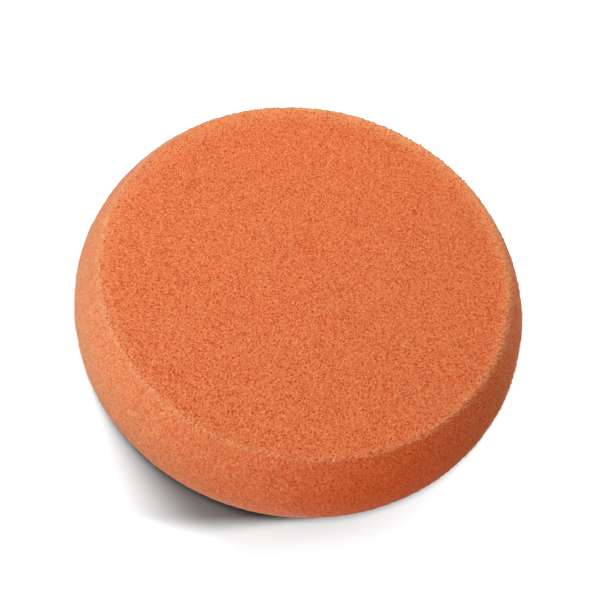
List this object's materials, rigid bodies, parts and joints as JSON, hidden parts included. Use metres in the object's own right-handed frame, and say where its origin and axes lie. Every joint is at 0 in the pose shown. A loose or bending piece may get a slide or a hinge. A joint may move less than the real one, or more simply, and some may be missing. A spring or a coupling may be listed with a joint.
{
  "type": "polishing pad",
  "caption": "Round open-cell foam polishing pad with a flat working face, a rounded wall and a loop-fabric back for a hook-faced backing plate.",
  "frame": {"origin": "centre of the back, on the plane of the tips of the loops, so the pad lies on z = 0", "axes": "+Z along the pad's axis, out of the working face; +X and +Y are any two radii, because the pad is round"},
  "size_m": [0.15, 0.15, 0.03],
  "materials": {
    "foam": "orange open-cell polyurethane foam, fine pores, dry and matte with a soft sheen at grazing angles",
    "film": "milky hot-melt adhesive film",
    "knit": "off-white warp-knitted polyester base fabric",
    "pile": "off-white brushed polyester loops"
  },
  "bodies": {
    "root": {"foam_disc": "foam", "adhesive_film": "film", "knit_backing": "knit", "loop_pile": "pile"}
  },
  "joints": []
}
